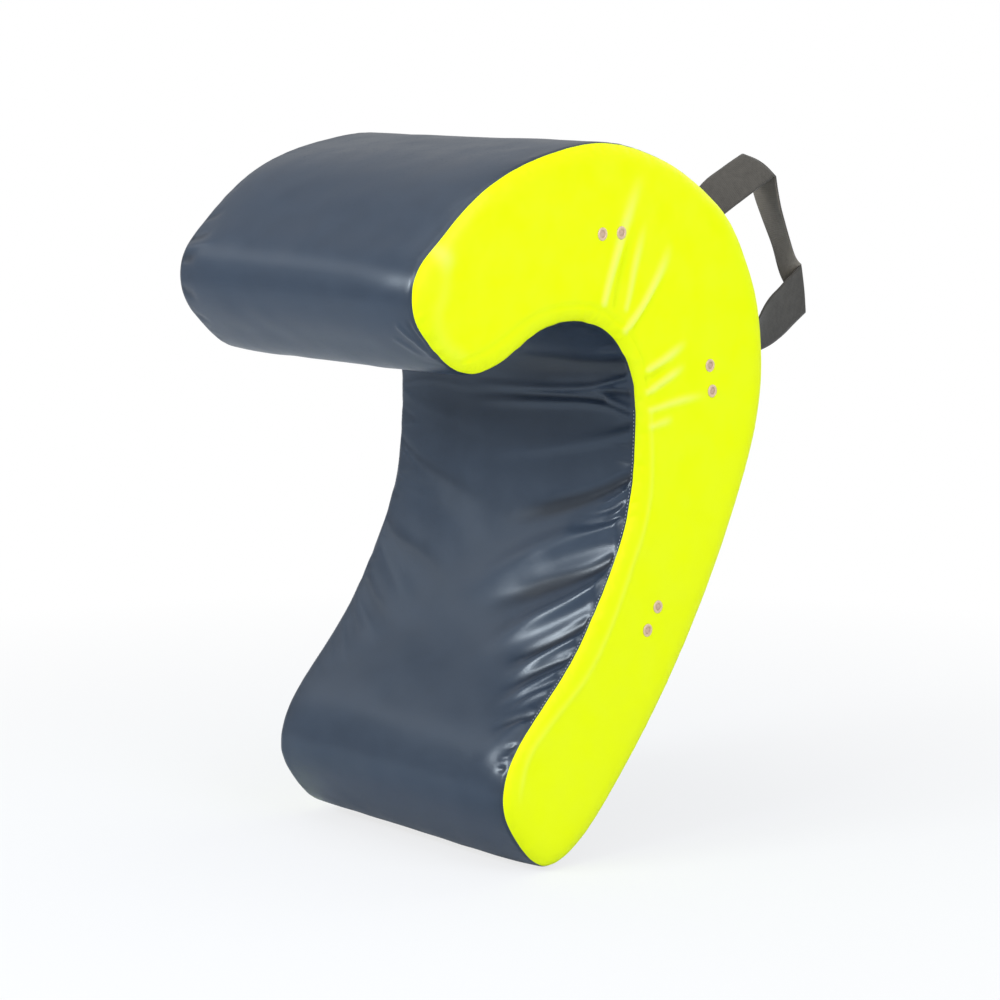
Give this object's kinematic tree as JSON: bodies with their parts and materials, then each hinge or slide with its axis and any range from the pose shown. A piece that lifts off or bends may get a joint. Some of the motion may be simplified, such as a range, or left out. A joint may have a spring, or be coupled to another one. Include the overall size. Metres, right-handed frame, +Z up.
{
  "type": "tackle shield",
  "caption": "Hooked foam shield for tackling practice, in a vinyl cover with flat sides, vent eyelets, a zipped back and folding webbing handles.",
  "frame": {"origin": "midway between the two webbing grips, on the shield's middle plane, where the holder's hands carry it", "axes": "+Z up the shield from its toe to its crown, -Y the way the hook's nose points, away from the holder, and X across its width"},
  "size_m": [0.4022, 0.7091, 0.8104],
  "materials": {
    "yellow_vinyl": "satin",
    "slate_vinyl": "satin",
    "soft_foam": "matte",
    "firm_foam": "matte",
    "dark_webbing": "matte",
    "eyelet_brass": "satin",
    "washer_brass": "satin",
    "zip_tape": "matte",
    "zip_metal": "satin"
  },
  "bodies": {
    "shield": {"side_panel_right": "yellow_vinyl", "side_panel_left": "yellow_vinyl", "front_wrap": "slate_vinyl", "back_yoke": "slate_vinyl", "back_panel_right": "slate_vinyl", "back_panel_left": "slate_vinyl", "handle_patch_right": "slate_vinyl", "handle_patch_left": "slate_vinyl", "foam_core": "soft_foam", "backing_foam": "firm_foam", "handle_tab_top_right": "dark_webbing", "handle_tab_low_right": "dark_webbing", "handle_tab_top_left": "dark_webbing", "handle_tab_low_left": "dark_webbing", "eyelet_right_1": "eyelet_brass", "eyelet_right_2": "eyelet_brass", "eyelet_right_3": "eyelet_brass", "eyelet_right_4": "eyelet_brass", "eyelet_right_5": "eyelet_brass", "eyelet_right_6": "eyelet_brass", "eyelet_left_1": "eyelet_brass", "eyelet_left_2": "eyelet_brass", "eyelet_left_3": "eyelet_brass", "eyelet_left_4": "eyelet_brass", "eyelet_left_5": "eyelet_brass", "eyelet_left_6": "eyelet_brass", "washer_right_1": "washer_brass", "washer_right_2": "washer_brass", "washer_right_3": "washer_brass", "washer_right_4": "washer_brass", "washer_right_5": "washer_brass", "washer_right_6": "washer_brass", "washer_left_1": "washer_brass", "washer_left_2": "washer_brass", "washer_left_3": "washer_brass", "washer_left_4": "washer_brass", "washer_left_5": "washer_brass", "washer_left_6": "washer_brass", "zip_tape_right": "zip_tape", "zip_tape_left": "zip_tape", "zip_stop_top": "zip_metal", "zip_stop_bottom": "zip_metal"},
    "slider": {"zip_slider": "zip_metal"},
    "pull": {"zip_pull": "zip_metal"},
    "top_arm_right": {"handle_arm_top_right": "dark_webbing"},
    "grip_right": {"handle_grip_right": "dark_webbing"},
    "low_arm_right": {"handle_arm_low_right": "dark_webbing"},
    "top_arm_left": {"handle_arm_top_left": "dark_webbing"},
    "grip_left": {"handle_grip_left": "dark_webbing"},
    "low_arm_left": {"handle_arm_low_left": "dark_webbing"}
  },
  "joints": [
    {"name": "handle_right_lift", "type": "hinge", "parent": "shield", "child": "top_arm_right", "pos_m": [0.105, -0.16634, 0.01447], "axis": [1, 0, 0], "range_deg": [-68, 42], "stiffness_Nm_per_rad": 0.12},
    {"name": "handle_right_grip_turn", "type": "hinge", "parent": "top_arm_right", "child": "grip_right", "pos_m": [0.105, -0.02065, 0.09194], "axis": [1, 0, 0], "range_deg": [-42, 68]},
    {"name": "handle_right_low_turn", "type": "hinge", "parent": "grip_right", "child": "low_arm_right", "pos_m": [0.105, 0.02065, -0.09194], "axis": [1, 0, 0], "range_deg": [-68, 42]},
    {"name": "handle_left_lift", "type": "hinge", "parent": "shield", "child": "top_arm_left", "pos_m": [-0.105, -0.16634, 0.01447], "axis": [1, 0, 0], "range_deg": [-68, 42], "stiffness_Nm_per_rad": 0.12},
    {"name": "handle_left_grip_turn", "type": "hinge", "parent": "top_arm_left", "child": "grip_left", "pos_m": [-0.105, -0.02065, 0.09194], "axis": [1, 0, 0], "range_deg": [-42, 68]},
    {"name": "handle_left_low_turn", "type": "hinge", "parent": "grip_left", "child": "low_arm_left", "pos_m": [-0.105, 0.02065, -0.09194], "axis": [1, 0, 0], "range_deg": [-68, 42]},
    {"name": "zip_slide", "type": "hinge", "parent": "shield", "child": "slider", "pos_m": [0, -1.22794, 0.18271], "axis": [1, 0, 0], "range_deg": [-19.87, 0]},
    {"name": "pull_swing", "type": "hinge", "parent": "slider", "child": "pull", "pos_m": [0, -0.15342, -0.27079], "axis": [1, 0, 0], "range_deg": [-25, 155]}
  ],
  "couplings": [
    {"joint": "handle_right_grip_turn", "follows": "handle_right_lift", "ratio": -1},
    {"joint": "handle_right_low_turn", "follows": "handle_right_lift", "ratio": 1},
    {"joint": "handle_left_grip_turn", "follows": "handle_left_lift", "ratio": -1},
    {"joint": "handle_left_low_turn", "follows": "handle_left_lift", "ratio": 1}
  ]
}
